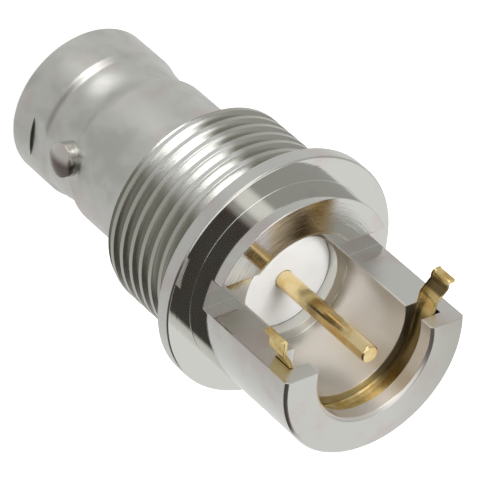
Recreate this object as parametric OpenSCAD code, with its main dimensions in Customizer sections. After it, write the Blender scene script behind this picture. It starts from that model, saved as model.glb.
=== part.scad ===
// Circular coaxial jack, 75 ohm bayonet type, for the edge of a circuit board.
// Z is the axis. The mating face is at z = 0 and the tail points up.
// The flats of the tail face +Y, and the two board slots open to +X and -X.

/* [Bayonet barrel] */
// Outside diameter of the barrel
barrel_d = 9.6; // [9.5:0.05:9.8]
// Length of the barrel, from the mating face to the thread
barrel_l = 11.4; // [11:0.1:13]
// Thickness of the barrel's wall round the mating bore
barrel_wall = 0.75; // [0.65:0.05:0.8]
// Depth of the mating bore to its butt face
mating_bore_depth = 8.4; // [8:0.1:9]
// Thickness of the inner lip behind the butt face
lip_t = 0.6; // [0.4:0.1:1]
// Width of the inner lip, which the insulator is pressed against
lip_w = 0.3; // [0.2:0.05:0.5]
// Chamfer on the outer edge of the mating face
barrel_edge = 0.12; // [0.05:0.01:0.2]
// Chamfer at the mouth of the mating bore
bore_lead_in = 0.25; // [0.1:0.05:0.4]
// Distance from the mating face to the middle of the neck
neck_z = 4.8; // [4.5:0.1:5.2]
// Width of the neck that is rolled round the barrel
neck_w = 2.9; // [2:0.1:3.4]
// Depth of the neck at its middle
neck_depth = 0.3; // [0.1:0.05:0.4]

/* [Bayonet lugs] */
// Diameter of a lug
lug_d = 2; // [1.9:0.05:2.1]
// Height of a lug above the barrel
lug_h = 0.7; // [0.65:0.05:0.8]
// Distance from the mating face to the middle of a lug
lug_z = 5.3; // [5:0.1:5.6]
// Turn of the lugs from the board plane, in degrees
lug_turn = -10; // [-30:1:30]
// Chamfer round the tip of a lug
lug_edge = 0.12; // [0.05:0.01:0.3]
// Depth of the milled flat that a lug stands on
lug_flat_depth = 0.18; // [0.1:0.01:0.3]
// Distance from the mating face to the start of that flat
lug_flat_start = 1.8; // [1:0.1:2.5]
// Length of that flat
lug_flat_l = 4.8; // [4.4:0.1:5.6]

/* [Panel thread] */
// Major diameter of the thread
thread_d = 12.6; // [12.4:0.05:12.7]
// Length from the barrel to the flange
thread_l = 6.94; // [5:0.01:9]
// Pitch, 28 to the inch
thread_pitch = 0.907; // [0.75:0.001:1]
// Width of the flat top of a crest
thread_crest = 0.3; // [0.1:0.01:0.4]
// Depth of a groove
thread_depth = 0.42; // [0.3:0.01:0.5]
// Diameter of the plain shank between the thread and the flange
shank_d = 12.7; // [12.65:0.05:12.8]
// Length of the plain shank
shank_l = 0.25; // [0.1:0.05:0.9]

/* [Flange] */
// Diameter of the flange
flange_d = 15; // [14:0.1:17]
// Thickness of the flange
flange_t = 0.98; // [0.8:0.01:1.6]
// Chamfer on both edges of the flange
flange_edge = 0.08; // [0.03:0.01:0.2]

/* [Tail cradle] */
// Diameter of the tail
tail_d = 12; // [11.5:0.1:12.6]
// Length of the tail behind the flange
tail_l = 8.78; // [8:0.01:11]
// Length of the full-round part of the tail
tail_full_l = 1.93; // [1.8:0.01:2.4]
// Height of the flats above the axis
flat_y = 0.63; // [0.4:0.01:0.9]
// Diameter of the trough
trough_d = 7.54; // [7:0.02:8]
// Distance from the flange to the shoulder in the trough
trough_start = 1.08; // [0.8:0.02:1.4]
// Height of a board slot, from the flats upwards
slot_h = 1.77; // [1.6:0.01:1.8]
// Chamfer on the turned edges of the tail
tail_edge = 0.17; // [0.1:0.01:0.2]

/* [Clip groove] */
// Width of the groove
groove_w = 1.4; // [1.3:0.05:1.8]
// Depth of the groove below the wall of the trough
groove_depth = 1.3; // [1.2:0.01:1.4]
// Distance from the end of the tail to the groove
groove_inset = 0.98; // [0.8:0.02:1.4]

/* [Insulator] */
// Diameter of the insulator
insulator_d = 6.2; // [6:0.05:6.4]
// Distance that its end lies below the shoulder of the trough
insulator_recess = 0.7; // [0.3:0.05:1]
// Chamfer on both ends of the insulator
insulator_edge = 0.15; // [0.05:0.05:0.3]

/* [Centre contact] */
// Diameter of the pin that is soldered to the board
pin_d = 1.08; // [1:0.02:1.2]
// Thickness of the contact's stem, inside the insulator, over the pin
stem_step = 0.21; // [0.18:0.01:0.3]
// Chamfer on the tips of the pin and the socket
contact_edge = 0.09; // [0.05:0.01:0.15]
// Distance from the end of the tail to the tip of the pin
pin_inset = 0.5; // [0.2:0.1:1.5]
// Diameter of the hole in the socket
socket_hole_d = 1.35; // [1.3:0.01:1.4]
// Thickness of the wall of the socket
socket_wall = 0.375; // [0.3:0.005:0.4]
// Depth of the hole in the socket
socket_hole_depth = 4.6; // [4:0.1:5]
// Distance from the mating face to the tip of the socket
socket_tip = 3.5; // [3:0.1:4.5]
// Length of the slits that make the socket springy
socket_slit_l = 3.6; // [3:0.1:4]
// Width of a slit
socket_slit_w = 0.22; // [0.15:0.01:0.3]
// Length of the socket that sits in the insulator
socket_seat_l = 0.8; // [0.4:0.1:1.5]
// Height of the barb that holds the contact in the insulator
barb_h = 0.2; // [0.1:0.01:0.3]
// Length of the barb
barb_l = 1.2; // [0.8:0.1:2]

/* [Ground clip] */
// Width of the strip
clip_w = 1.3; // [1.1:0.05:1.35]
// Thickness of the strip
clip_t = 0.22; // [0.15:0.01:0.3]
// Angle below the middle plane where each leg leaves the ring, which splays it too
clip_splay = 10; // [6:1:12]
// Height above the axis where a leg starts to lean outwards
clip_knee_y = 1.35; // [1.1:0.05:1.5]
// Height of the leaning part
clip_lean_h = 0.65; // [0.5:0.05:0.8]
// Distance that the leaning part goes outwards
clip_lean_out = 0.65; // [0.5:0.05:0.8]
// Height of the upright part above it
clip_stand_h = 0.42; // [0.35:0.01:0.5]
// Length of the foot that turns outwards at the tip
clip_foot_l = 0.45; // [0.4:0.05:0.6]
// Radius of the bends, at the middle of the strip
clip_bend_r = 0.2; // [0.15:0.01:0.22]

/* [Clearance] */
// Radial gap round a pressed piece
press_gap = 0.01; // [0.005:0.005:0.03]
// Radial play of the clip on the floor of its groove
clip_play = 0.52; // [0.4:0.01:0.6]

/* [Hidden] */
$fn = 96;
// Extra reach of a cutter past the face that it cuts
past = 0.5;

// Diameters and heights that follow from those above
mating_bore_d = barrel_d - 2 * barrel_wall;
lug_tip_r = barrel_d / 2 + lug_h;
lip_hole_d = insulator_d - 2 * lip_w;
groove_d = trough_d + 2 * groove_depth;
socket_d = socket_hole_d + 2 * socket_wall;

// Stations along the axis
flange_z = barrel_l + thread_l;
tail_z = flange_z + flange_t;
end_z = tail_z + tail_l;
full_z = tail_z + tail_full_l;
shoulder_z = tail_z + trough_start;
lip_z = mating_bore_depth + lip_t;
insulator_end_z = shoulder_z - insulator_recess;
pin_tip_z = end_z - pin_inset;
groove_z = end_z - groove_inset - groove_w;
barb_z = (lip_z + insulator_end_z - barb_l) / 2;

// Thread: as many ridges as fit between its lead-in and the shank
thread_root_r = thread_d / 2 - thread_depth;
thread_flank = thread_depth * tan(30);
shank_z = flange_z - shank_l;
shank_flank = (shank_d / 2 - thread_root_r) * tan(30);
first_crest_z = barrel_l + thread_depth;
last_crest_z = shank_z - shank_flank - thread_flank - thread_crest;
crest_count = 1 + floor((last_crest_z - first_crest_z) / thread_pitch);

// Ground clip: radius at the middle of the strip, and its lower edge
clip_r = groove_d / 2 - clip_play - clip_t / 2;
clip_z = groove_z + (groove_w - clip_w) / 2;

function polar(r, a) = [r * cos(a), r * sin(a)];

// Radius of the barrel at height z, with the neck as one wave of a cosine
function neck_r(z) =
    barrel_d / 2 - neck_depth / 2 * (1 + cos(360 * (z - neck_z) / neck_w));

// Points of one bend of radius r, where a line through p turns from direction a to b
function bend(p, a, b, r) =
    let (turn = b - a,
         cut = r * tan(abs(turn) / 2),
         start = p - polar(cut, a),
         side = turn > 0 ? 1 : -1,
         centre = start + side * polar(r, a + 90),
         steps = 8)
    [for (i = [0:steps]) centre - side * polar(r, a + 90 + turn * i / steps)];

// One revolved solid from [radius, z] points
module turned(points) {
    rotate_extrude() polygon(points);
}

module body_blank() {
    barrel_r = barrel_d / 2;
    neck_start = neck_z - neck_w / 2;
    neck_steps = 24;
    tail_r = tail_d / 2;
    turned(concat(
        [[0, 0], [barrel_r - barrel_edge, 0], [barrel_r, barrel_edge]],
        [for (i = [0:neck_steps])
            let (z = neck_start + neck_w * i / neck_steps) [neck_r(z), z]],
        [[barrel_r, barrel_l]],
        thread_profile(),
        [[thread_root_r, shank_z - shank_flank],
         [shank_d / 2, shank_z], [shank_d / 2, flange_z],
         [flange_d / 2 - flange_edge, flange_z], [flange_d / 2, flange_z + flange_edge],
         [flange_d / 2, tail_z - flange_edge], [flange_d / 2 - flange_edge, tail_z],
         [tail_r, tail_z], [tail_r, end_z - tail_edge], [tail_r - tail_edge, end_z],
         [0, end_z]]));
}

// Outline of the thread, one flat-topped ridge for each turn. The first has a 45
// degree front, and the 60 degree grooves leave a narrow root between two ridges
function thread_profile() =
    [for (i = [0:crest_count - 1])
        let (z = first_crest_z + i * thread_pitch,
             lead = i == 0 ? thread_depth : thread_flank)
        each [[thread_root_r, z - lead], [thread_d / 2, z],
              [thread_d / 2, z + thread_crest],
              [thread_root_r, z + thread_crest + thread_flank]]];

// Everything that is bored from either end
module body_bores() {
    mating_r = mating_bore_d / 2;
    seat_r = insulator_d / 2 + press_gap;
    trough_r = trough_d / 2;
    turned([[0, -past], [mating_r + bore_lead_in + past, -past],
            [mating_r, bore_lead_in],
            [mating_r, mating_bore_depth], [lip_hole_d / 2, mating_bore_depth],
            [lip_hole_d / 2, lip_z], [seat_r, lip_z], [seat_r, shoulder_z],
            [trough_r, shoulder_z], [trough_r, end_z - tail_edge],
            [trough_r + tail_edge + past, end_z + past], [0, end_z + past]]);
    translate([0, 0, groove_z]) cylinder(d = groove_d, h = groove_w);
}

// The upper half of the tail is milled away, and a slot each side takes the board
module tail_cuts() {
    reach = flange_d;
    translate([-reach / 2, flat_y, full_z]) cube([reach, reach, tail_l]);
    translate([-reach / 2, flat_y, shoulder_z]) cube([reach, slot_h, tail_l]);
}

// One lug direction: the milled flat is cut before the lug is added
module at_lugs() {
    for (side = [0, 180]) rotate([0, 0, lug_turn + side]) children();
}

module lug_flat() {
    translate([barrel_d / 2 - lug_flat_depth, -barrel_d / 2, lug_flat_start])
        cube([past, barrel_d, lug_flat_l]);
}

module lug() {
    root_r = (mating_bore_d + barrel_d) / 4;
    translate([0, 0, lug_z]) rotate([0, 90, 0])
        turned([[0, root_r], [lug_d / 2, root_r], [lug_d / 2, lug_tip_r - lug_edge],
                [lug_d / 2 - lug_edge, lug_tip_r], [0, lug_tip_r]]);
}

module body() {
    color("silver") union() {
        difference() {
            body_blank();
            body_bores();
            tail_cuts();
            at_lugs() lug_flat();
        }
        at_lugs() lug();
    }
}

// Outline of the contact where it runs through the insulator, grown by a gap
function contact_outline(gap) =
    let (seat_r = socket_d / 2 + gap,
         stem_r = pin_d / 2 + stem_step + gap,
         barb_r = stem_r + barb_h)
    [[seat_r, lip_z + socket_seat_l], [stem_r, lip_z + socket_seat_l],
     [stem_r, barb_z], [barb_r, barb_z], [stem_r, barb_z + barb_l],
     [stem_r, insulator_end_z]];

module insulator() {
    r = insulator_d / 2;
    color("white") difference() {
        turned([[0, lip_z], [r - insulator_edge, lip_z], [r, lip_z + insulator_edge],
                [r, insulator_end_z - insulator_edge],
                [r - insulator_edge, insulator_end_z], [0, insulator_end_z]]);
        turned(concat([[0, lip_z - past], [socket_d / 2 + press_gap, lip_z - past]],
                      contact_outline(press_gap),
                      [[pin_d / 2 + stem_step + press_gap, end_z], [0, end_z]]));
    }
}

module centre_contact() {
    socket_r = socket_d / 2;
    pin_r = pin_d / 2;
    hole_r = socket_hole_d / 2;
    edge = contact_edge;
    color("gold") difference() {
        turned(concat([[0, socket_tip], [socket_r - edge, socket_tip],
                       [socket_r, socket_tip + edge]],
                      contact_outline(0),
                      [[pin_r, insulator_end_z], [pin_r, pin_tip_z - edge],
                       [pin_r - edge, pin_tip_z], [0, pin_tip_z]]));
        turned([[0, socket_tip - past], [hole_r + edge + past, socket_tip - past],
                [hole_r, socket_tip + edge],
                [hole_r, socket_tip + socket_hole_depth],
                [0, socket_tip + socket_hole_depth + hole_r / 2]]);
        for (turn = [0, 90]) rotate([0, 0, turn])
            translate([-socket_d, -socket_slit_w / 2, socket_tip - past])
                cube([2 * socket_d, socket_slit_w, socket_slit_l + past]);
    }
}

// Middle line of one leg of the clip, from the end of the ring up to the tip of the foot
function clip_leg() =
    let (lean = atan2(clip_lean_h, clip_lean_out),
         p0 = polar(clip_r, -clip_splay),
         p1 = [p0.x + (clip_knee_y - p0.y) * tan(clip_splay), clip_knee_y],
         p2 = p1 + [clip_lean_out, clip_lean_h],
         p3 = p2 + [0, clip_stand_h])
    concat([p0],
           bend(p1, 90 - clip_splay, lean, clip_bend_r),
           bend(p2, lean, 90, clip_bend_r),
           bend(p3, 90, 0, clip_bend_r),
           [p3 + [clip_foot_l, 0]]);

// Closed outline of a strip of thickness t that follows a line
function strip_outline(line, t) =
    let (last = len(line) - 1,
         ahead = [for (i = [0:last]) line[min(i + 1, last)] - line[max(i - 1, 0)]],
         side = [for (a = ahead) [a.y, -a.x] * t / (2 * norm(a))])
    concat([for (i = [0:last]) line[i] - side[i]],
           [for (i = [last:-1:0]) line[i] + side[i]]);

// Middle line of the whole strip: a leg, the ring in the groove and the other leg
function clip_line() =
    let (leg = clip_leg(),
         sweep = 180 - 2 * clip_splay,
         steps = 60)
    concat([for (i = [len(leg) - 1:-1:0]) [-leg[i].x, leg[i].y]],
           [for (i = [1:steps - 1]) polar(clip_r, 180 + clip_splay + sweep * i / steps)],
           leg);

module ground_clip() {
    color("goldenrod") translate([0, 0, clip_z]) linear_extrude(height = clip_w)
        polygon(strip_outline(clip_line(), clip_t));
}

body();
insulator();
centre_contact();
ground_clip();
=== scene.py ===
"""A bayonet coaxial jack for the edge of a circuit board, dressed for its portrait.

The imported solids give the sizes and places. Each sub-assembly below rebuilds its solid
as a fine mesh, with the thread's true helix, and gives it a plated or moulded finish.
All lengths are in millimetres until a mesh is written, which is in metres.
"""

import logging
import math
from dataclasses import dataclass, field
from enum import Enum
from typing import Iterable, Sequence, Union

import bmesh
import bpy
from mathutils import Matrix, Vector

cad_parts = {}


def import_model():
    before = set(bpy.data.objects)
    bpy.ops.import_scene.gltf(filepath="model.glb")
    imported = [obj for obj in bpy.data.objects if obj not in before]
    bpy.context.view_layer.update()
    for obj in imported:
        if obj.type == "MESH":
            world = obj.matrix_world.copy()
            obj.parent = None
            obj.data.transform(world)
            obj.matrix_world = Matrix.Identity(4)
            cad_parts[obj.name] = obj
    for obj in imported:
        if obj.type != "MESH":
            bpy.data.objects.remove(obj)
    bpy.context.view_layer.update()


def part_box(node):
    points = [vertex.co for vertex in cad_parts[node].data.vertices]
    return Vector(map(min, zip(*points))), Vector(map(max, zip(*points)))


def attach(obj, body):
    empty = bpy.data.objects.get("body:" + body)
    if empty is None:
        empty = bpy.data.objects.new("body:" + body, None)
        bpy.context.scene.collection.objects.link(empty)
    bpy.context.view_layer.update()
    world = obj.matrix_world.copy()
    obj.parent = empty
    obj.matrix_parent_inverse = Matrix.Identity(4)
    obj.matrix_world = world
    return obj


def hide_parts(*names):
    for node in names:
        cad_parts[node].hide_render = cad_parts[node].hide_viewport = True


LOG = logging.getLogger("jack")
MM = 0.001
ROOT = "root"

Point2 = tuple[float, float]
Point3 = tuple[float, float, float]
Colour = tuple[float, float, float]

WHITE: Colour = (1.0, 1.0, 1.0)
TINY = 1e-6
# Steps round a turned form: the body and the bush, the contact, the lugs and the table.
FINE_TURN, MEDIUM_TURN, COARSE_TURN = 192, 96, 64


class Slot(Enum):
    """The record's material slots."""

    NICKEL = "nickel"
    PTFE = "ptfe"
    CONTACT_GOLD = "contact_gold"
    CLIP_GOLD = "clip_gold"


class Carve(Enum):
    """How one solid works on another."""

    CUT = "DIFFERENCE"
    JOIN = "UNION"
    KEEP = "INTERSECT"


# ------------------------------------------------------------------------- shader maths


Value = Union[float, "Wave"]


class Wave:
    """A number that varies over a surface. Python's operators add its Math nodes."""

    def __init__(self, net: "Network", socket: bpy.types.NodeSocket) -> None:
        """Wraps one output socket of a network."""
        self.net = net
        self.socket = socket

    def maths(self, operation: str, *values: Value) -> "Wave":
        """Adds a Math node.

        Args:
            operation: The node's operation, such as "ADD".
            values: The node's inputs in order.

        Returns:
            The node's result.
        """
        settings = {"operation": operation}
        return self.net.add("ShaderNodeMath", settings, dict(enumerate(values)))

    def __add__(self, other: Value) -> "Wave":
        """self + other."""
        return self.maths("ADD", self, other)

    def __radd__(self, other: Value) -> "Wave":
        """other + self."""
        return self.maths("ADD", other, self)

    def __sub__(self, other: Value) -> "Wave":
        """self - other."""
        return self.maths("SUBTRACT", self, other)

    def __rsub__(self, other: Value) -> "Wave":
        """other - self."""
        return self.maths("SUBTRACT", other, self)

    def __mul__(self, other: Value) -> "Wave":
        """self * other."""
        return self.maths("MULTIPLY", self, other)

    def __rmul__(self, other: Value) -> "Wave":
        """other * self."""
        return self.maths("MULTIPLY", other, self)

    def __truediv__(self, other: Value) -> "Wave":
        """self / other."""
        return self.maths("DIVIDE", self, other)

    def root(self) -> "Wave":
        """The square root."""
        return self.maths("SQRT", self)

    def size(self) -> "Wave":
        """The value without its sign."""
        return self.maths("ABSOLUTE", self)

    def ramp(self, low: Value, high: Value) -> "Wave":
        """0 below low, 1 above high, and smooth between them."""
        settings = {"interpolation_type": "SMOOTHSTEP"}
        return self.net.add("ShaderNodeMapRange", settings, {0: self, 1: low, 2: high})


class Network:
    """The nodes of one material or of the world."""

    def __init__(self, tree: bpy.types.NodeTree) -> None:
        """Starts from an empty tree."""
        self.tree = tree
        tree.nodes.clear()

    def add(
        self,
        kind: str,
        settings: dict | None = None,
        inputs: dict | None = None,
        output: int | str = 0,
    ) -> Wave:
        """Adds any node: its settings first, then the values or links of its sockets.

        Args:
            kind: The node's type name.
            settings: Attributes of the node.
            inputs: Socket index or name to a number, tuple, Wave or socket.
            output: The output socket that is returned.

        Returns:
            That output, wrapped.
        """
        node = self.tree.nodes.new(kind)
        for key, value in (settings or {}).items():
            setattr(node, key, value)
        for key, value in (inputs or {}).items():
            self.feed(node.inputs[key], value)
        return Wave(self, node.outputs[output])

    def feed(self, socket: bpy.types.NodeSocket, value: object) -> None:
        """Links a Wave to a socket, or sets the socket's own value."""
        if isinstance(value, Wave):
            self.tree.links.new(value.socket, socket)
        elif isinstance(value, tuple) and socket.type == "RGBA":
            socket.default_value = (*value, 1.0)
        else:
            socket.default_value = value

    def finish(self, kind: str, shader: Wave) -> None:
        """Ends the network in an output node."""
        self.tree.links.new(shader.socket, self.tree.nodes.new(kind).inputs[0])

    def mix(self, factor: Value, a: object, b: object) -> Wave:
        """Blends two colours."""
        settings = {"data_type": "RGBA"}
        return self.add("ShaderNodeMix", settings, {0: factor, 6: a, 7: b}, 2)

    def for_camera(self, others: Wave, camera: Wave) -> Wave:
        """One shader for the camera's own rays and another for all other rays."""
        path = self.add("ShaderNodeLightPath", {}, {}, "Is Camera Ray")
        return self.add("ShaderNodeMixShader", {}, {0: path, 1: others, 2: camera})

    def vector(self, x: Value, y: Value, z: Value) -> Wave:
        """A vector from its parts."""
        return self.add("ShaderNodeCombineXYZ", {}, {0: x, 1: y, 2: z})

    def parts(self, vector: Wave) -> tuple[Wave, Wave, Wave]:
        """The parts of a vector."""
        x = self.add("ShaderNodeSeparateXYZ", {}, {0: vector})
        outputs = x.socket.node.outputs
        return x, Wave(self, outputs[1]), Wave(self, outputs[2])


@dataclass(frozen=True)
class Place:
    """Where a point lies on the jack, in millimetres."""

    vector: Wave
    x: Wave
    y: Wave
    z: Wave
    radius: Wave
    turned: Wave

    @classmethod
    def of(cls, net: Network) -> "Place":
        """Reads the object's own coordinates. "turned" has only radius and height."""
        metres = net.add("ShaderNodeTexCoord", {}, {}, "Object")
        scale = {"operation": "SCALE"}
        vector = net.add("ShaderNodeVectorMath", scale, {0: metres, "Scale": 1 / MM})
        x, y, z = net.parts(vector)
        radius = (x * x + y * y).root()
        return cls(vector, x, y, z, radius, net.vector(radius, z, 0.0))


@dataclass(frozen=True)
class Grain:
    """One kind of noise, and how much it adds to the relief."""

    scale: float
    detail: float
    roughness: float = 0.5
    height: float = 0.0

    def on(self, place: Wave) -> Wave:
        """The noise at a place, between about 0 and 1."""
        inputs = {
            "Vector": place,
            "Scale": self.scale,
            "Detail": self.detail,
            "Roughness": self.roughness,
        }
        return place.net.add("ShaderNodeTexNoise", {}, inputs)


@dataclass(frozen=True)
class Fade:
    """A smooth change that starts at one value of a coordinate and ends at another."""

    low: float
    high: float

    def rise(self, along: Wave) -> Wave:
        """0 before the fade and 1 after it."""
        return along.ramp(self.low, self.high)

    def fall(self, along: Wave) -> Wave:
        """1 before the fade and 0 after it."""
        return 1.0 - self.rise(along)


@dataclass(frozen=True)
class Span:
    """A stretch of a coordinate, with edges that are soft on both sides."""

    low: float
    high: float
    soft: float

    def cover(self, along: Wave) -> Wave:
        """1 in the stretch and 0 outside."""
        start = Fade(self.low - self.soft, self.low + self.soft)
        stop = Fade(self.high - self.soft, self.high + self.soft)
        return start.rise(along) * stop.fall(along)


@dataclass(frozen=True)
class Zone:
    """A part of the body with its own polish, between two heights and two radii."""

    low: float
    high: float
    inner: float
    outer: float
    roughness: float
    tint: Colour | None = None
    soft: float = 0.04

    def cover(self, at: Place) -> Wave:
        """1 in the zone and 0 outside."""
        along = Span(self.low, self.high, self.soft)
        across = Span(self.inner, self.outer, self.soft)
        return along.cover(at.z) * across.cover(at.radius)


# ----------------------------------------------------------------------------- finishes


def new_material(name: str) -> tuple[bpy.types.Material, Network]:
    """An empty material and its network."""
    material = bpy.data.materials.new(name)
    material.use_nodes = True
    return material, Network(material.node_tree)


def surface(net: Network, inputs: dict) -> None:
    """Ends a network in one Principled shader."""
    shader = net.add("ShaderNodeBsdfPrincipled", {}, inputs)
    net.finish("ShaderNodeOutputMaterial", shader)


def relief(net: Network, height: Wave, depth_mm: float, edge_mm: float) -> Wave:
    """Rounded edges with a fine relief on top.

    Args:
        net: The material's network.
        height: The relief, in shares of its depth.
        depth_mm: Its depth.
        edge_mm: Radius of the rounding that edges seem to have.

    Returns:
        The normal.
    """
    samples = 8
    rounded = net.add("ShaderNodeBevel", {"samples": samples}, {"Radius": edge_mm * MM})
    inputs = {
        "Strength": 1.0,
        "Distance": depth_mm * MM,
        "Height": height,
        "Normal": rounded,
    }
    return net.add("ShaderNodeBump", {}, inputs)


def uneven(base: Value, noise: Wave, share: float) -> Wave:
    """A value that noise between 0 and 1 moves up and down by half a share."""
    return base + (noise - 0.5) * share


@dataclass(frozen=True)
class NickelPlate:
    """Bright nickel over turned brass: satin on the barrel, mirror on the tail."""

    end: float
    tint: Colour = (0.70, 0.70, 0.66)
    warm_tint: Colour = (0.68, 0.63, 0.60)
    dull_tint: Colour = (0.60, 0.60, 0.56)
    wall_reflection_tint: Colour = (0.64, 0.52, 0.35)
    lug_shade_tint: Colour = (0.14, 0.11, 0.10)
    shade_tint: Colour = (0.42, 0.41, 0.35)
    lit_tint: Colour = (0.89, 0.89, 0.86)
    polish: float = 0.07
    roughness_share: float = 0.06
    depth: float = 0.003
    edge: float = 0.06
    # Noise: broad tones, then the marks of turning, brushing and milling.
    cloud: Grain = Grain(0.4, 3.0)
    patch: Grain = Grain(0.55, 2.0, 0.6, height=4.0)
    fine: Grain = Grain(2.2, 4.0, height=0.4)
    rings: Grain = Grain(9.0, 3.0, height=0.6)
    brush: Grain = Grain(1.0, 3.0, height=1.2)
    brush_across: float = 9.0
    brush_along: float = 0.8
    mill: Grain = Grain(1.0, 2.0, height=1.8)
    mill_across: float = 26.0
    mill_along: float = 0.3
    warm: Fade = Fade(0.5, 0.68)
    dull: Fade = Fade(0.38, 0.72)
    # Parts that are named below as well as listed in satin.
    thread: Zone = Zone(11.3, 18.3, 0.0, 9.0, 0.26)
    lug: Zone = Zone(4.1, 6.5, 4.95, 6.0, 0.12, (0.66, 0.63, 0.58))
    satin: tuple[Zone, ...] = (
        Zone(-1.0, 11.3, 0.0, 4.9, 0.4),  # barrel
        thread,
        Zone(18.3, 19.28, 7.35, 9.0, 0.3),  # rim of the flange
        Zone(21.4, 29.0, 0.0, 5.9, 0.34),  # flats and the end face
        Zone(21.4, 29.0, 5.9, 7.0, 0.14),  # outside of the cradle
        Zone(20.45, 28.2, 3.6, 3.9, 0.34, (0.88, 0.83, 0.77)),  # trough
        Zone(19.3, 20.36, 3.2, 3.9, 0.1, (0.95, 0.95, 0.96)),  # step before it
        lug,
        # painted shade in the step at the end of the lug's flat
        Zone(1.72, 1.9, 4.5, 4.74, 0.3, (0.36, 0.34, 0.31)),  # end of the lug's flat
    )
    barrel_z: Fade = Fade(11.2, 11.4)
    # Painted shade on the thread's sides and a painted highlight on its top.
    shade: float = 0.7
    gleam: float = 0.8
    lit_x: Span = Span(-4.2, -0.8, 0.6)
    lit_y: Fade = Fade(0.0, 3.0)
    # Painted shade on the lower half of each lug.
    lug_shade: float = 0.95
    lug_shade_y: Fade = Fade(0.8, 1.4)
    # Painted shade: the end face darkens towards +X.
    end_depth: tuple[float, float] = (0.03, 0.01)
    end_shade: float = 0.6
    end_x: Fade = Fade(1.0, 6.5)
    # The milled wall over the insulator has a painted brown reflection of the gold
    # contact in the middle.
    wall: Zone = Zone(21.15, 21.4, 0.0, 5.95, 0.07)
    wall_y: Fade = Fade(0.5, 0.7)
    wall_reflection_x: Span = Span(-2.5, 1.7, 0.5)

    def material(self) -> bpy.types.Material:
        """Builds the finish."""
        material, net = new_material("nickel_plate")
        at = Place.of(net)
        patch, fine = self.patch.on(at.vector), self.fine.on(at.vector)
        barrel = self.barrel_z.fall(at.z)
        thread = self.thread.cover(at)
        lit = self.lit_x.cover(at.x) * self.lit_y.rise(at.y)
        lug = self.lug.cover(at) * self.lug_shade_y.fall(at.y.size())
        deep, shallow = self.end_depth
        end = Fade(self.end - deep, self.end - shallow).rise(at.z)
        wall = self.wall.cover(at) * self.wall_y.rise(at.y)
        satin = [(zone, zone.cover(at)) for zone in self.satin]
        warm = self.warm.rise(self.cloud.on(at.vector))
        washes = [
            (warm * (1.0 - thread), self.warm_tint),
            (self.dull.rise(patch) * barrel, self.dull_tint),
            *((cover, zone.tint) for zone, cover in satin if zone.tint),
            # painted shade on the thread's sides and a painted highlight on its top
            (thread * (1.0 - lit) * self.shade, self.shade_tint),
            (thread * lit * self.gleam, self.lit_tint),
            # painted shade on the lower half of each lug
            (lug * self.lug_shade, self.lug_shade_tint),
            # painted shade on the end face, darker towards +X
            (end * self.end_x.rise(at.x) * self.end_shade, self.shade_tint),
            # painted reflection of the gold contact on the milled wall
            (wall * self.wall_reflection_x.cover(at.x), self.wall_reflection_tint),
        ]
        tint: Wave | Colour = self.tint
        for cover, colour in washes:
            tint = net.mix(cover, tint, colour)
        rough: Value = self.polish
        for zone, cover in satin:
            rough = rough + cover * (zone.roughness - rough)
        brushed = net.vector(at.x * self.brush_across, at.y * self.brush_along, 0.0)
        milled = net.vector(
            at.radius * self.mill_across, at.x * self.mill_along, at.y * self.mill_along
        )
        height = (
            self.rings.on(at.turned) * self.rings.height
            + fine * barrel * self.fine.height
            + patch * barrel * self.patch.height
            + self.mill.on(milled) * wall * self.mill.height
            + self.brush.on(brushed) * end * self.brush.height
        )
        surface(
            net,
            {
                "Base Color": tint,
                "Metallic": 1.0,
                "Roughness": uneven(rough, fine, self.roughness_share),
                "Normal": relief(net, height, self.depth, self.edge),
            },
        )
        return material


@dataclass(frozen=True)
class GoldPlate:
    """Gold plating with a slightly uneven tone, and painted shade in places if it has
    any.
    """

    name: str
    tint: Colour
    deep_tint: Colour
    roughness: float
    edge: float
    painted_shade: float = 0.0
    painted_shade_tint: Colour = (0.17, 0.12, 0.05)
    roughness_share: float = 0.1
    depth: float = 0.003
    cloud: Grain = Grain(0.9, 3.0)
    fine: Grain = Grain(6.0, 3.0, height=0.5)
    rings: Grain = Grain(12.0, 2.0, height=0.5)
    deep: Fade = Fade(0.35, 0.7)
    # Painted shade lies on the right leg, where it leans, and on the right side of the
    # ring.
    lean_x: Fade = Fade(4.3, 4.5)
    lean_low: Fade = Fade(1.6, 1.75)
    lean_high: Fade = Fade(2.25, 2.35)
    ring_x: Fade = Fade(1.5, 3.0)
    ring_y: Fade = Fade(0.0, 0.8)

    def material(self) -> bpy.types.Material:
        """Builds the finish."""
        material, net = new_material(self.name)
        at = Place.of(net)
        fine = self.fine.on(at.vector)
        deep = self.deep.rise(self.cloud.on(at.vector))
        lean = self.lean_x.rise(at.x) * self.lean_low.rise(at.y)
        lean = lean * self.lean_high.fall(at.y)
        ring = self.ring_x.rise(at.x) * self.ring_y.fall(at.y)
        tint = net.mix(deep, self.tint, self.deep_tint)
        # Painted shade where the right leg leans and on the right side of the ring.
        tint = net.mix((lean + ring) * self.painted_shade, tint, self.painted_shade_tint)
        height = self.rings.on(at.turned) * self.rings.height + fine * self.fine.height
        surface(
            net,
            {
                "Base Color": tint,
                "Metallic": 1.0,
                "Roughness": uneven(self.roughness, fine, self.roughness_share),
                "Normal": relief(net, height, self.depth, self.edge),
            },
        )
        return material


CONTACT_GOLD = GoldPlate(
    name="contact_gold",
    tint=(0.92, 0.75, 0.42),
    deep_tint=(0.80, 0.56, 0.22),
    roughness=0.16,
    edge=0.05,
)
CLIP_GOLD = GoldPlate(
    name="clip_gold",
    tint=(0.92, 0.74, 0.36),
    deep_tint=(0.62, 0.42, 0.14),
    roughness=0.2,
    edge=0.04,
    painted_shade=0.95,
)


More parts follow.
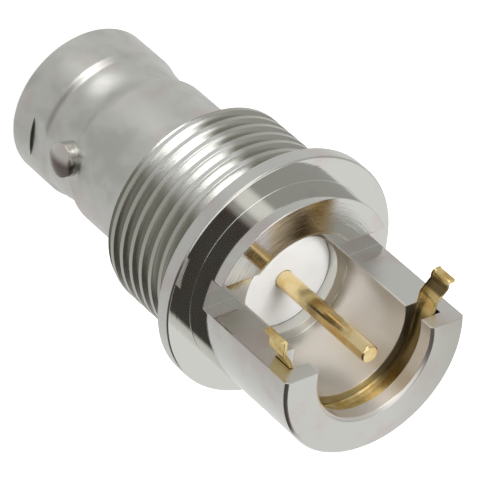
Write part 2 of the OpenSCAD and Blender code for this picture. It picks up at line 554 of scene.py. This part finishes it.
@dataclass(frozen=True)
class WhitePolymer:
    """Smooth white fluoropolymer that lets a little light in."""

    tint: Colour = (0.90, 0.90, 0.89)
    shade_tint: Colour = (0.87, 0.87, 0.86)
    roughness: float = 0.42
    roughness_share: float = 0.12
    depth: float = 0.01
    edge: float = 0.05
    glow: float = 0.15
    glow_reach: float = 0.4
    glow_spread: Point3 = (1.0, 1.0, 1.0)
    cloud: Grain = Grain(0.8, 3.0)
    fine: Grain = Grain(14.0, 3.0, height=0.3)
    rings: Grain = Grain(5.0, 2.0, height=0.7)
    shade: Fade = Fade(0.4, 0.75)

    def material(self) -> bpy.types.Material:
        """Builds the finish."""
        material, net = new_material("white_ptfe")
        at = Place.of(net)
        fine = self.fine.on(at.vector)
        shade = self.shade.rise(self.cloud.on(at.vector))
        height = self.rings.on(at.turned) * self.rings.height + fine * self.fine.height
        surface(
            net,
            {
                "Base Color": net.mix(shade, self.tint, self.shade_tint),
                "Roughness": uneven(self.roughness, fine, self.roughness_share),
                "Subsurface Weight": self.glow,
                "Subsurface Radius": self.glow_spread,
                "Subsurface Scale": self.glow_reach * MM,
                "Normal": relief(net, height, self.depth, self.edge),
            },
        )
        return material


# ------------------------------------------------------------------------------- meshes


def polar(radius: float, degrees: float) -> Point2:
    """A point on a circle."""
    angle = math.radians(degrees)
    return radius * math.cos(angle), radius * math.sin(angle)


def make_object(
    name: str, points: Iterable[Point3], faces: Iterable[Sequence[int]]
) -> bpy.types.Object:
    """Makes a closed mesh object.

    Args:
        name: The object's name.
        points: Corners in millimetres.
        faces: Corner indices of each face.

    Returns:
        The object, linked to the scene.
    """
    mesh = bpy.data.meshes.new(name)
    mesh.from_pydata([tuple(c * MM for c in p) for p in points], [], list(faces))
    shape = bmesh.new()
    shape.from_mesh(mesh)
    bmesh.ops.recalc_face_normals(shape, faces=shape.faces)
    shape.to_mesh(mesh)
    shape.free()
    made = bpy.data.objects.new(name, mesh)
    bpy.context.scene.collection.objects.link(made)
    return made


def lathe(
    name: str, outline: Sequence[Point2], segments: int = FINE_TURN
) -> bpy.types.Object:
    """Turns a closed outline round the Z axis.

    Args:
        name: The object's name.
        outline: (radius, height) corners in order. A radius of 0 makes one point.
        segments: Steps round the axis.

    Returns:
        The solid.
    """
    points: list[Point3] = []
    rows: list[list[int]] = []
    for radius, height in outline:
        if radius == 0:
            rows.append([len(points)] * segments)
            points.append((0.0, 0.0, height))
            continue
        rows.append(list(range(len(points), len(points) + segments)))
        for i in range(segments):
            x, y = polar(radius, 360 * i / segments)
            points.append((x, y, height))
    faces = []
    for row, above in zip(rows, rows[1:] + rows[:1]):
        for i in range(segments):
            j = (i + 1) % segments
            face = list(dict.fromkeys([row[i], row[j], above[j], above[i]]))
            if len(face) > 2:
                faces.append(face)
    return make_object(name, points, faces)


def tube(rings: int, size: int) -> list[Sequence[int]]:
    """Faces of a closed tube.

    Args:
        rings: How many copies of the section follow each other.
        size: Corners in each.

    Returns:
        Corner indices of each face, both ends included.
    """
    faces: list[Sequence[int]] = [tuple(range(size))]
    for i in range(0, (rings - 1) * size, size):
        for k in range(size):
            n = (k + 1) % size
            faces.append((i + k, i + n, i + size + n, i + size + k))
    last = (rings - 1) * size
    faces.append(tuple(range(last, last + size)))
    return faces


def box(name: str, low: Point3, high: Point3) -> bpy.types.Object:
    """A block between two corners, used as a cutter."""
    xs, ys, zs = zip(low, high)
    points = [(x, y, z) for z in zs for y in ys for x in xs]
    faces = [
        (0, 1, 3, 2),
        (4, 5, 7, 6),
        (0, 1, 5, 4),
        (2, 3, 7, 6),
        (0, 2, 6, 4),
        (1, 3, 7, 5),
    ]
    return make_object(name, points, faces)


def carve(base: bpy.types.Object, how: Carve, tool: bpy.types.Object) -> None:
    """Works one solid on another and removes the tool.

    Args:
        base: The solid that is changed.
        how: Whether the tool is cut away, joined or all that is kept.
        tool: The other solid.
    """
    step = base.modifiers.new("carve", "BOOLEAN")
    step.operation = how.value
    step.solver = "EXACT"
    step.object = tool
    bpy.context.view_layer.update()
    graph = bpy.context.evaluated_depsgraph_get()
    mesh = bpy.data.meshes.new_from_object(base.evaluated_get(graph))
    base.modifiers.clear()
    base.data = mesh
    bpy.data.objects.remove(tool)


def turn(piece: bpy.types.Object, degrees: float, axis: str = "Z") -> bpy.types.Object:
    """Turns a mesh about an axis through the origin."""
    piece.data.transform(Matrix.Rotation(math.radians(degrees), 4, axis))
    return piece


def lift(piece: bpy.types.Object, x: float, y: float, z: float) -> bpy.types.Object:
    """Moves a mesh by millimetres."""
    piece.data.transform(Matrix.Translation(Vector((x, y, z)) * MM))
    return piece


def smooth(piece: bpy.types.Object, sharp_degrees: float = 30.0) -> None:
    """Shades a mesh smooth, with creases where it turns sharply."""
    mesh = piece.data
    mesh.polygons.foreach_set("use_smooth", [True] * len(mesh.polygons))
    mesh.set_sharp_from_angle(angle=math.radians(sharp_degrees))


def dress(
    piece: bpy.types.Object, material: bpy.types.Material, slot: Slot, *nodes: str
) -> None:
    """Gives a finished mesh its material, its body and the solids that it stands for.

    Args:
        piece: The mesh object.
        material: Its finish.
        slot: The record's slot of that finish. Not used.
        nodes: The CAD nodes that it replaces.
    """
    smooth(piece)
    piece.data.materials.clear()
    piece.data.materials.append(material)
    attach(piece, ROOT)
    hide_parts(*nodes)
    count = len(piece.data.polygons)
    LOG.info("%s: %d faces, stands for %s", piece.name, count, ", ".join(nodes))


# ----------------------------------------------------------------------------- the jack


@dataclass
class Stations:
    """Heights along the axis that the sub-assemblies share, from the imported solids."""

    end: float = field(init=False)
    flange_r: float = field(init=False)
    ptfe_low: float = field(init=False)
    ptfe_high: float = field(init=False)
    ptfe_r: float = field(init=False)
    socket_tip: float = field(init=False)
    pin_tip: float = field(init=False)
    clip_low: float = field(init=False)
    clip_high: float = field(init=False)
    clip_bottom: float = field(init=False)

    def __post_init__(self) -> None:
        """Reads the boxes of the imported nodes."""
        low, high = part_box("body")
        self.end, self.flange_r = high.z / MM, high.x / MM
        low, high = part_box("insulator")
        self.ptfe_low, self.ptfe_high = low.z / MM, high.z / MM
        self.ptfe_r = high.x / MM
        low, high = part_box("centre_contact")
        self.socket_tip, self.pin_tip = low.z / MM, high.z / MM
        low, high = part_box("ground_clip")
        self.clip_low, self.clip_high = low.z / MM, high.z / MM
        self.clip_bottom = -low.y / MM


@dataclass
class Thread:
    """The panel thread: one flat-topped ridge that winds round its core.

    The ridge begins run_in times the pitch before the start. steps are per turn.
    """

    start: float
    shank: float
    crest_r: float = 6.3
    shank_r: float = 6.35
    depth: float = 0.42
    pitch: float = 0.907
    crest: float = 0.3
    half_angle: float = 30.0
    run_in: float = 0.55
    sunk: float = 0.08
    steps: int = 120

    @property
    def root_r(self) -> float:
        """Radius at the bottom of the grooves."""
        return self.crest_r - self.depth

    @property
    def slope(self) -> float:
        """Height that a flank gains for each millimetre of radius."""
        return math.tan(math.radians(self.half_angle))

    def ridge(self) -> bpy.types.Object:
        """The ridge by itself: longer than the thread, and sunk into its core."""
        half = self.crest / 2
        base = half + (self.depth + self.sunk) * self.slope
        foot_r, base_r = self.root_r - 3 * self.sunk, self.root_r - self.sunk
        section = [
            (foot_r, -base),
            (base_r, -base),
            (self.crest_r, -half),
            (self.crest_r, half),
            (base_r, base),
            (foot_r, base),
        ]
        first = self.start - self.run_in * self.pitch
        count = int((self.shank - first) / self.pitch * self.steps) + self.steps
        points: list[Point3] = []
        for i in range(count + 1):
            rise = first + self.pitch * i / self.steps
            for radius, offset in section:
                x, y = polar(radius, 360 * i / self.steps)
                points.append((x, y, rise + offset))
        return make_object("ridge", points, tube(count + 1, len(section)))

    def envelope(self) -> bpy.types.Object:
        """What the ridge may fill: a 45 degree lead-in, then all up to the shank."""
        core, past, hidden = 0.6, 0.02, 0.005
        inner = self.root_r - core
        return lathe(
            "envelope",
            [
                (inner, self.start + hidden),
                (self.root_r + hidden, self.start + hidden),
                (self.crest_r + past, self.start + self.depth + past),
                (self.crest_r + past, self.shank + past),
                (inner, self.shank + past),
            ],
        )


@dataclass
class Body:
    """The turned and milled body, from the mating face to the end of the tail.

    neck holds (height, depth) stations. Lugs and their flats come in opposite pairs,
    and lug_turn and lug_flat_turn say where the first of each is, from +X.
    """

    at: Stations
    barrel_r: float = 4.8
    barrel_l: float = 11.4
    barrel_wall: float = 0.75
    barrel_edge: float = 0.12
    bore_lead_in: float = 0.25
    mating_depth: float = 8.4
    lip_w: float = 0.3
    neck: tuple[Point2, ...] = ((2.7, 0.0), (3.3, 0.17), (5.0, 0.32), (6.2, 0.0))
    lug_r: float = 1.0
    lug_h: float = 0.7
    lug_z: float = 5.3
    lug_turn: float = -10.0
    lug_dome: float = 0.3
    lug_flat_depth: float = 0.18
    lug_flat_turn: float = -3.0
    lug_flat_start: float = 1.8
    lug_flat_l: float = 4.8
    thread_l: float = 6.94
    shank_l: float = 0.25
    flange_t: float = 0.98
    flange_edge: float = 0.08
    tail_r: float = 6.0
    tail_full_l: float = 1.93
    tail_edge: float = 0.17
    flat_y: float = 0.63
    trough_r: float = 3.77
    trough_start: float = 1.08
    slot_h: float = 1.77
    groove_w: float = 1.4
    groove_depth: float = 1.3
    groove_inset: float = 0.98
    press_gap: float = 0.01

    def __post_init__(self) -> None:
        """Works out the heights along the axis."""
        self.flange_z = self.barrel_l + self.thread_l
        self.tail_z = self.flange_z + self.flange_t
        self.full_z = self.tail_z + self.tail_full_l
        self.shoulder_z = self.tail_z + self.trough_start
        self.groove_z = self.at.end - self.groove_inset - self.groove_w
        self.thread = Thread(self.barrel_l, self.flange_z - self.shank_l)

    def neck_line(self) -> list[Point2]:
        """(radius, height) down the neck, which eases from one depth to the next."""
        steps = 12
        line = []
        for (z, depth), (next_z, next_depth) in zip(self.neck, self.neck[1:]):
            for i in range(steps):
                ease = (1 - math.cos(math.pi * i / steps)) / 2
                sunk = depth + (next_depth - depth) * ease
                line.append((self.barrel_r - sunk, z + (next_z - z) * i / steps))
        return line + [(self.barrel_r, self.neck[-1][0])]

    def outline(self) -> list[Point2]:
        """The turned outline, with the thread's core but not its ridge."""
        thread, end = self.thread, self.at.end
        rear = (thread.shank_r - thread.root_r) * thread.slope
        return [
            (0, 0),
            (self.barrel_r - self.barrel_edge, 0),
            (self.barrel_r, self.barrel_edge),
            *self.neck_line(),
            (self.barrel_r, self.barrel_l),
            (thread.root_r, self.barrel_l),
            (thread.root_r, thread.shank - rear),
            (thread.shank_r, thread.shank),
            (thread.shank_r, self.flange_z),
            (self.at.flange_r - self.flange_edge, self.flange_z),
            (self.at.flange_r, self.flange_z + self.flange_edge),
            (self.at.flange_r, self.tail_z - self.flange_edge),
            (self.at.flange_r - self.flange_edge, self.tail_z),
            (self.tail_r, self.tail_z),
            (self.tail_r, end - self.tail_edge),
            (self.tail_r - self.tail_edge, end),
            (0, end),
        ]

    def bores(self) -> bpy.types.Object:
        """Everything that is bored from either end, as one cutter."""
        past = 0.5
        mating_r = self.barrel_r - self.barrel_wall
        seat_r = self.at.ptfe_r + self.press_gap
        lip_r = self.at.ptfe_r - self.lip_w
        groove_r = self.trough_r + self.groove_depth
        end, groove = self.at.end, self.groove_z
        return lathe(
            "bores",
            [
                (0, -past),
                (mating_r + self.bore_lead_in + past, -past),
                (mating_r, self.bore_lead_in),
                (mating_r, self.mating_depth),
                (lip_r, self.mating_depth),
                (lip_r, self.at.ptfe_low),
                (seat_r, self.at.ptfe_low),
                (seat_r, self.shoulder_z),
                (self.trough_r, self.shoulder_z),
                (self.trough_r, groove),
                (groove_r, groove),
                (groove_r, groove + self.groove_w),
                (self.trough_r, groove + self.groove_w),
                (self.trough_r, end - self.tail_edge),
                (self.trough_r + self.tail_edge + past, end + past),
                (0, end + past),
            ],
        )

    def lug(self) -> bpy.types.Object:
        """One bayonet lug, along +X."""
        root = self.barrel_r - self.barrel_wall / 2
        tip = self.barrel_r + self.lug_h
        steps = 10
        outline = [(0, root), (self.lug_r, root)]
        for i in range(steps + 1):
            out = 1 - i / steps
            outline.append((self.lug_r * out, tip - self.lug_dome * out**2))
        lug = turn(lathe("lug", outline, COARSE_TURN), 90, "Y")
        return lift(lug, 0, 0, self.lug_z)

    def lug_flat(self) -> bpy.types.Object:
        """Cutter for the flat round one lug, along +X."""
        r, low, past = self.barrel_r, self.lug_flat_start, 0.5
        start = (r - self.lug_flat_depth, -r, low)
        return box("lug_flat", start, (r + past, r, low + self.lug_flat_l))

    def build(self) -> bpy.types.Object:
        """Turns, bores and mills the body."""
        body = lathe("jack_body", self.outline())
        ridge = self.thread.ridge()
        carve(ridge, Carve.KEEP, self.thread.envelope())
        carve(body, Carve.JOIN, ridge)
        carve(body, Carve.CUT, self.bores())
        reach, past = 10.0, 0.5
        low, top, slot_y = self.flat_y, self.at.end + past, self.flat_y + self.slot_h
        flats = box("flats", (-reach, low, self.full_z), (reach, reach, top))
        carve(body, Carve.CUT, flats)
        slots = box("slots", (-reach, low, self.shoulder_z), (reach, slot_y, top))
        carve(body, Carve.CUT, slots)
        for side in (0, 180):
            carve(body, Carve.CUT, turn(self.lug_flat(), self.lug_flat_turn + side))
            carve(body, Carve.JOIN, turn(self.lug(), self.lug_turn + side))
        return body

    def dress(self, finish: NickelPlate) -> None:
        """Builds and plates the body."""
        dress(self.build(), finish.material(), Slot.NICKEL, "body")


@dataclass
class Contact:
    """The centre contact: a slotted socket in front, a stem, and the solder pin."""

    at: Stations
    pin_r: float = 0.54
    edge: float = 0.09
    hole_r: float = 0.675
    hole_depth: float = 4.6
    wall: float = 0.375
    slit_l: float = 3.6
    slit_w: float = 0.22
    seat_l: float = 0.8
    stem_step: float = 0.21
    stem_inset: float = 0.3
    neck_relief: float = 0.05
    barb_h: float = 0.2
    barb_l: float = 1.2

    @property
    def stem_end(self) -> float:
        """Height at which the stem steps down to the pin, inside the insulator."""
        return self.at.ptfe_high - self.stem_inset

    def stem(self, gap: float) -> list[Point2]:
        """Outline of the part that the insulator holds, grown by a gap."""
        socket_r = self.hole_r + self.wall + gap
        stem_r = self.pin_r + self.stem_step + gap
        seat_z = self.at.ptfe_low + self.seat_l
        barb_z = (self.at.ptfe_low + self.at.ptfe_high - self.barb_l) / 2
        return [
            (socket_r, seat_z),
            (stem_r, seat_z),
            (stem_r, barb_z),
            (stem_r + self.barb_h, barb_z),
            (stem_r, barb_z + self.barb_l),
            (stem_r, self.stem_end),
        ]

    def build(self) -> bpy.types.Object:
        """Turns the contact, drills its socket and slits it."""
        tip, past, reach = self.at.socket_tip, 0.5, 2.0
        socket_r, neck_r = self.hole_r + self.wall, self.pin_r - self.neck_relief
        outline = [
            (0, tip),
            (socket_r - self.edge, tip),
            (socket_r, tip + self.edge),
            *self.stem(0.0),
            (neck_r, self.stem_end),
            (neck_r, self.at.ptfe_high),
            (self.pin_r, self.at.ptfe_high),
            (self.pin_r, self.at.pin_tip - self.edge),
            (self.pin_r - self.edge, self.at.pin_tip),
            (0, self.at.pin_tip),
        ]
        contact = lathe("contact", outline, MEDIUM_TURN)
        bottom = tip + self.hole_depth
        hole = [
            (0, tip - past),
            (self.hole_r + self.edge + past, tip - past),
            (self.hole_r, tip + self.edge),
            (self.hole_r, bottom),
            (0, bottom + self.hole_r / 2),
        ]
        carve(contact, Carve.CUT, lathe("hole", hole, MEDIUM_TURN))
        half = self.slit_w / 2
        for quarter in (0, 90):
            end = (reach, half, tip + self.slit_l)
            slit = box("slit", (-reach, -half, tip - past), end)
            carve(contact, Carve.CUT, turn(slit, quarter))
        return contact

    def dress(self, finish: GoldPlate) -> None:
        """Builds and plates the contact."""
        dress(self.build(), finish.material(), Slot.CONTACT_GOLD, "centre_contact")


@dataclass
class Insulator:
    """The white bush that holds the contact in the body."""

    at: Stations
    contact: Contact
    edge: float = 0.03
    gap: float = 0.01

    def build(self) -> bpy.types.Object:
        """Turns the bush and its hole as one ring."""
        low, high, r = self.at.ptfe_low, self.at.ptfe_high, self.at.ptfe_r
        socket_r = self.contact.hole_r + self.contact.wall + self.gap
        outer = [
            (r - self.edge, low),
            (r, low + self.edge),
            (r, high - self.edge),
            (r - self.edge, high),
        ]
        pin_r = self.contact.pin_r + self.gap
        hole = [(pin_r, self.contact.stem_end), (pin_r, high)]
        inner = [(socket_r, low), *self.contact.stem(self.gap), *hole]
        return lathe("insulator_bush", [*outer, *reversed(inner)])

    def dress(self, finish: WhitePolymer) -> None:
        """Builds and dresses the bush."""
        dress(self.build(), finish.material(), Slot.PTFE, "insulator")


@dataclass(frozen=True)
class Leg:
    """One bent end of the strip: it splays, leans out, stands and ends in a foot."""

    splay: float = 10.0
    knee_y: float = 1.35
    lean_h: float = 0.65
    lean_out: float = 0.65
    stand_h: float = 0.42
    foot_l: float = 0.45


@dataclass
class GroundClip:
    """The spring strip: a half ring in the groove and a bent leg at each end."""

    at: Stations
    thickness: float = 0.22
    right: Leg = Leg()
    left: Leg = Leg(
        splay=18.5, knee_y=1.05, lean_h=0.6, lean_out=0.4, stand_h=1.0, foot_l=0.42
    )
    bend_r: float = 0.2
    bend_steps: int = 10
    ring_steps: int = 96
    edge: float = 0.04
    edge_steps: int = 4
    burr: float = 0.06
    burr_h: float = 0.09
    drop: float = 0.04

    @property
    def radius(self) -> float:
        """Radius at the middle of the strip."""
        return self.at.clip_bottom - self.thickness / 2

    def bend(self, corner: Point2, a: float, b: float) -> list[Point2]:
        """Points of a bend at a corner, from direction a to direction b in degrees."""
        steps = self.bend_steps
        side = 1 if b > a else -1
        cut = self.bend_r * math.tan(math.radians(abs(b - a)) / 2)
        start = Vector(corner) - Vector(polar(cut, a))
        centre = start + side * Vector(polar(self.bend_r, a + 90))
        angles = [a + 90 + (b - a) * i / steps for i in range(steps + 1)]
        arms = [Vector(polar(self.bend_r, angle)) for angle in angles]
        return [tuple(centre - side * arm) for arm in arms]

    def leg_line(self, leg: Leg) -> list[Point2]:
        """Middle line of a leg on the +X side, from the ring to the tip of its foot."""
        lean = math.degrees(math.atan2(leg.lean_h, leg.lean_out))
        x0, y0 = polar(self.radius, -leg.splay)
        y1 = leg.knee_y
        x1 = x0 + (y1 - y0) * math.tan(math.radians(leg.splay))
        x2, y2 = x1 + leg.lean_out, y1 + leg.lean_h
        y3 = y2 + leg.stand_h
        return [
            (x0, y0),
            *self.bend((x1, y1), 90 - leg.splay, lean),
            *self.bend((x2, y2), lean, 90),
            *self.bend((x2, y3), 90, 0),
            (x2 + leg.foot_l, y3),
        ]

    def line(self) -> list[Point2]:
        """Middle line of the whole strip, from the left tip to the right tip."""
        start, steps = 180 + self.left.splay, self.ring_steps
        sweep = 360 - self.right.splay - start
        arc = [polar(self.radius, start + sweep * i / steps) for i in range(1, steps)]
        left = [(-x, y) for x, y in reversed(self.leg_line(self.left))]
        return [*left, *arc, *self.leg_line(self.right)]

    def section(self) -> list[Point2]:
        """Section of the strip as (offset, height): rounded, with a burr inside."""
        half_t = self.thickness / 2 - self.edge
        low = self.at.clip_low + self.edge - self.drop
        high = self.at.clip_high - self.edge
        corners = [
            (half_t, low, -90),
            (half_t, high, 0),
            (-half_t, high, 90),
            (-half_t - self.burr, low, 180),
        ]
        ring = []
        for offset, height, angle in corners:
            for step in range(self.edge_steps + 1):
                dx, dz = polar(self.edge, angle + 90 * step / self.edge_steps)
                ring.append((offset + dx, height + dz))
        burr_top = (-self.thickness / 2, low + self.burr_h)
        ring.insert(-self.edge_steps - 1, burr_top)
        return ring

    def build(self) -> bpy.types.Object:
        """Sweeps the section along the line."""
        line, section = self.line(), self.section()
        last = len(line) - 1
        points: list[Point3] = []
        for i, (x, y) in enumerate(line):
            ahead = Vector(line[min(i + 1, last)]) - Vector(line[max(i - 1, 0)])
            ahead.normalize()
            for offset, height in section:
                points.append((x + ahead.y * offset, y - ahead.x * offset, height))
        return make_object("clip_strip", points, tube(len(line), len(section)))

    def dress(self, finish: GoldPlate) -> None:
        """Builds and plates the clip."""
        dress(self.build(), finish.material(), Slot.CLIP_GOLD, "ground_clip")


# --------------------------------------------------------------------------- the studio


@dataclass
class View:
    """The camera: it looks at the axis from above and behind, and is rolled over."""

    aim_z: float = 15.565
    distance: float = 260.48
    azimuth: float = -139.305
    elevation: float = 39.366
    roll: float = -131.395
    lens: float = 354.14
    sensor: float = 36.0
    near_m: float = 0.01
    far_m: float = 10.0

    def place(self) -> None:
        """Makes the camera and hands it to the scene."""
        data = bpy.data.cameras.new("camera")
        data.lens, data.sensor_width = self.lens, self.sensor
        data.clip_start, data.clip_end = self.near_m, self.far_m
        camera = bpy.data.objects.new("camera", data)
        bpy.context.scene.collection.objects.link(camera)
        a, e = math.radians(self.azimuth), math.radians(self.elevation)
        level = math.cos(e)
        back = Vector((math.sin(a) * level, -math.cos(a) * level, math.sin(e)))
        right = Vector((0, 0, 1)).cross(back).normalized()
        up = back.cross(right)
        r = math.radians(self.roll)
        rolled_up = up * math.cos(r) + right * math.sin(r)
        rolled_right = rolled_up.cross(back)
        matrix = Matrix((rolled_right, rolled_up, back)).transposed().to_4x4()
        matrix.translation = (Vector((0, 0, self.aim_z)) + back * self.distance) * MM
        camera.matrix_world = matrix
        bpy.context.scene.camera = camera


@dataclass(frozen=True)
class Panel:
    """A soft-edged field of the sky, bright like a softbox or dark like a flag.

    Angles are in degrees. Azimuth runs from +X towards +Y.
    """

    azimuth: float
    half_width: float
    low: float
    high: float
    level: float
    soft: float = 5.0

    def cover(self, x: Wave, y: Wave, z: Wave) -> Wave:
        """1 inside the field and 0 outside, for a direction."""
        a = math.radians(self.azimuth)
        facing = (x * math.cos(a) + y * math.sin(a)) / (x * x + y * y + TINY).root()
        rise = z.maths("ARCSINE", z)
        wide, narrow, *edges = [
            math.radians(angle + side * self.soft)
            for angle, side in (
                (self.half_width, 1),
                (self.half_width, -1),
                (self.low, -1),
                (self.low, 1),
                (self.high, -1),
                (self.high, 1),
            )
        ]
        inside = facing.ramp(math.cos(wide), math.cos(narrow))
        return inside * rise.ramp(*edges[:2]) * (1.0 - rise.ramp(*edges[2:]))


@dataclass(frozen=True)
class Sky:
    """The studio all round the jack: pale below, with flags and softboxes above.

    top is the direction of one more bright patch, with a sharper edge.
    """

    back_azimuth: float = 311.0
    low_front: float = 0.55
    low_back: float = 0.86
    top: Point3 = (0.18, 0.25, 0.95)
    top_edge: Fade = Fade(0.94, 0.97)
    top_level: float = 1.9
    panels: tuple[Panel, ...] = (
        Panel(25, 85, 5, 100, 0.5),
        Panel(300, 32, -5, 52, 0.86),
        Panel(188, 75, 5, 100, 0.08),
        Panel(93, 9, 8, 65, 1.15),
        Panel(97, 16, -24, 8, 3.2),
        Panel(140, 42, 48, 62, 1.5),
    )
    dark: Fade = Fade(0.1, 0.5)
    dark_tint: Colour = (1.0, 0.93, 0.84)

    def build(self) -> None:
        """Makes the world: white to the camera, and this studio to everything else."""
        world = bpy.data.worlds.new("sky")
        world.use_nodes = True
        bpy.context.scene.world = world
        net = Network(world.node_tree)
        direction = net.add("ShaderNodeTexCoord", {}, {}, "Generated")
        x, y, z = net.parts(direction)
        a = math.radians(self.back_azimuth)
        facing = (1.0 + x * math.cos(a) + y * math.sin(a)) * 0.5
        level = self.low_front + (self.low_back - self.low_front) * facing * facing
        for panel in self.panels:
            cover = panel.cover(x, y, z)
            level = level + cover * (panel.level - level)
        up = x * self.top[0] + y * self.top[1] + z * self.top[2]
        level = level + self.top_edge.rise(up) * (self.top_level - level)
        tint = net.mix(self.dark.rise(level), self.dark_tint, WHITE)
        studio = net.add("ShaderNodeBackground", {}, {"Color": tint, "Strength": level})
        white = net.add("ShaderNodeBackground", {}, {"Color": WHITE, "Strength": 1.0})
        net.finish("ShaderNodeOutputWorld", net.for_camera(studio, white))


@dataclass(frozen=True)
class Lamp:
    """A square lamp that faces the jack."""

    name: str
    place: Point3
    size: float
    watts: float

    def build(self, aim: Point3) -> None:
        """Makes the lamp and points it at a place."""
        data = bpy.data.lights.new(self.name, "AREA")
        data.size, data.energy = self.size * MM, self.watts
        lamp = bpy.data.objects.new(self.name, data)
        bpy.context.scene.collection.objects.link(lamp)
        lamp.location = Vector(self.place) * MM
        ahead = Vector(aim) * MM - lamp.location
        lamp.rotation_euler = ahead.to_track_quat("-Z", "Y").to_euler()
        lamp.visible_glossy = False


@dataclass
class Studio:
    """A white table, the sky and two lamps."""

    table_r: float = 400.0
    table_t: float = 1.0
    table_tint: Colour = (0.86, 0.86, 0.86)
    table_glow: float = 0.45
    aim: Point3 = (0.0, 0.0, 14.0)
    lamps: tuple[Lamp, ...] = (
        Lamp("key", (30, 110, 190), 90, 0.22),
        Lamp("fill", (-120, -60, 150), 140, 0.25),
    )

    def build(self) -> None:
        """Makes the table, the world and the lamps."""
        self.table()
        Sky().build()
        for lamp in self.lamps:
            lamp.build(self.aim)
        bpy.context.scene.view_settings.view_transform = "Standard"

    def table(self) -> None:
        """The floor: white to the camera, and it keeps the jack's shadow."""
        low, r = -self.table_t, self.table_r
        floor = lathe("table", [(0, low), (r, low), (r, 0.0), (0, 0.0)], COARSE_TURN)
        material, net = new_material("table_white")
        diffuse = net.add("ShaderNodeBsdfDiffuse", {}, {"Color": self.table_tint})
        glow = {"Color": WHITE, "Strength": self.table_glow}
        shine = net.add("ShaderNodeEmission", {}, glow)
        both = net.add("ShaderNodeAddShader", {}, {0: diffuse, 1: shine})
        net.finish("ShaderNodeOutputMaterial", net.for_camera(diffuse, both))
        floor.data.materials.append(material)
        floor.visible_glossy = False


def corners(pair: tuple[Vector, Vector]) -> list[list[float]]:
    """A box as plain lists."""
    return [list(corner) for corner in pair]


def main() -> None:
    """Builds the jack, dresses it and lights it."""
    logging.basicConfig(level=logging.INFO, format="%(message)s")
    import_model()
    at = Stations()
    View().place()
    Studio().build()
    contact = Contact(at)
    Body(at).dress(NickelPlate(at.end))
    contact.dress(CONTACT_GOLD)
    Insulator(at, contact).dress(WhitePolymer())
    GroundClip(at).dress(CLIP_GOLD)


if __name__ == "__main__":
    main()
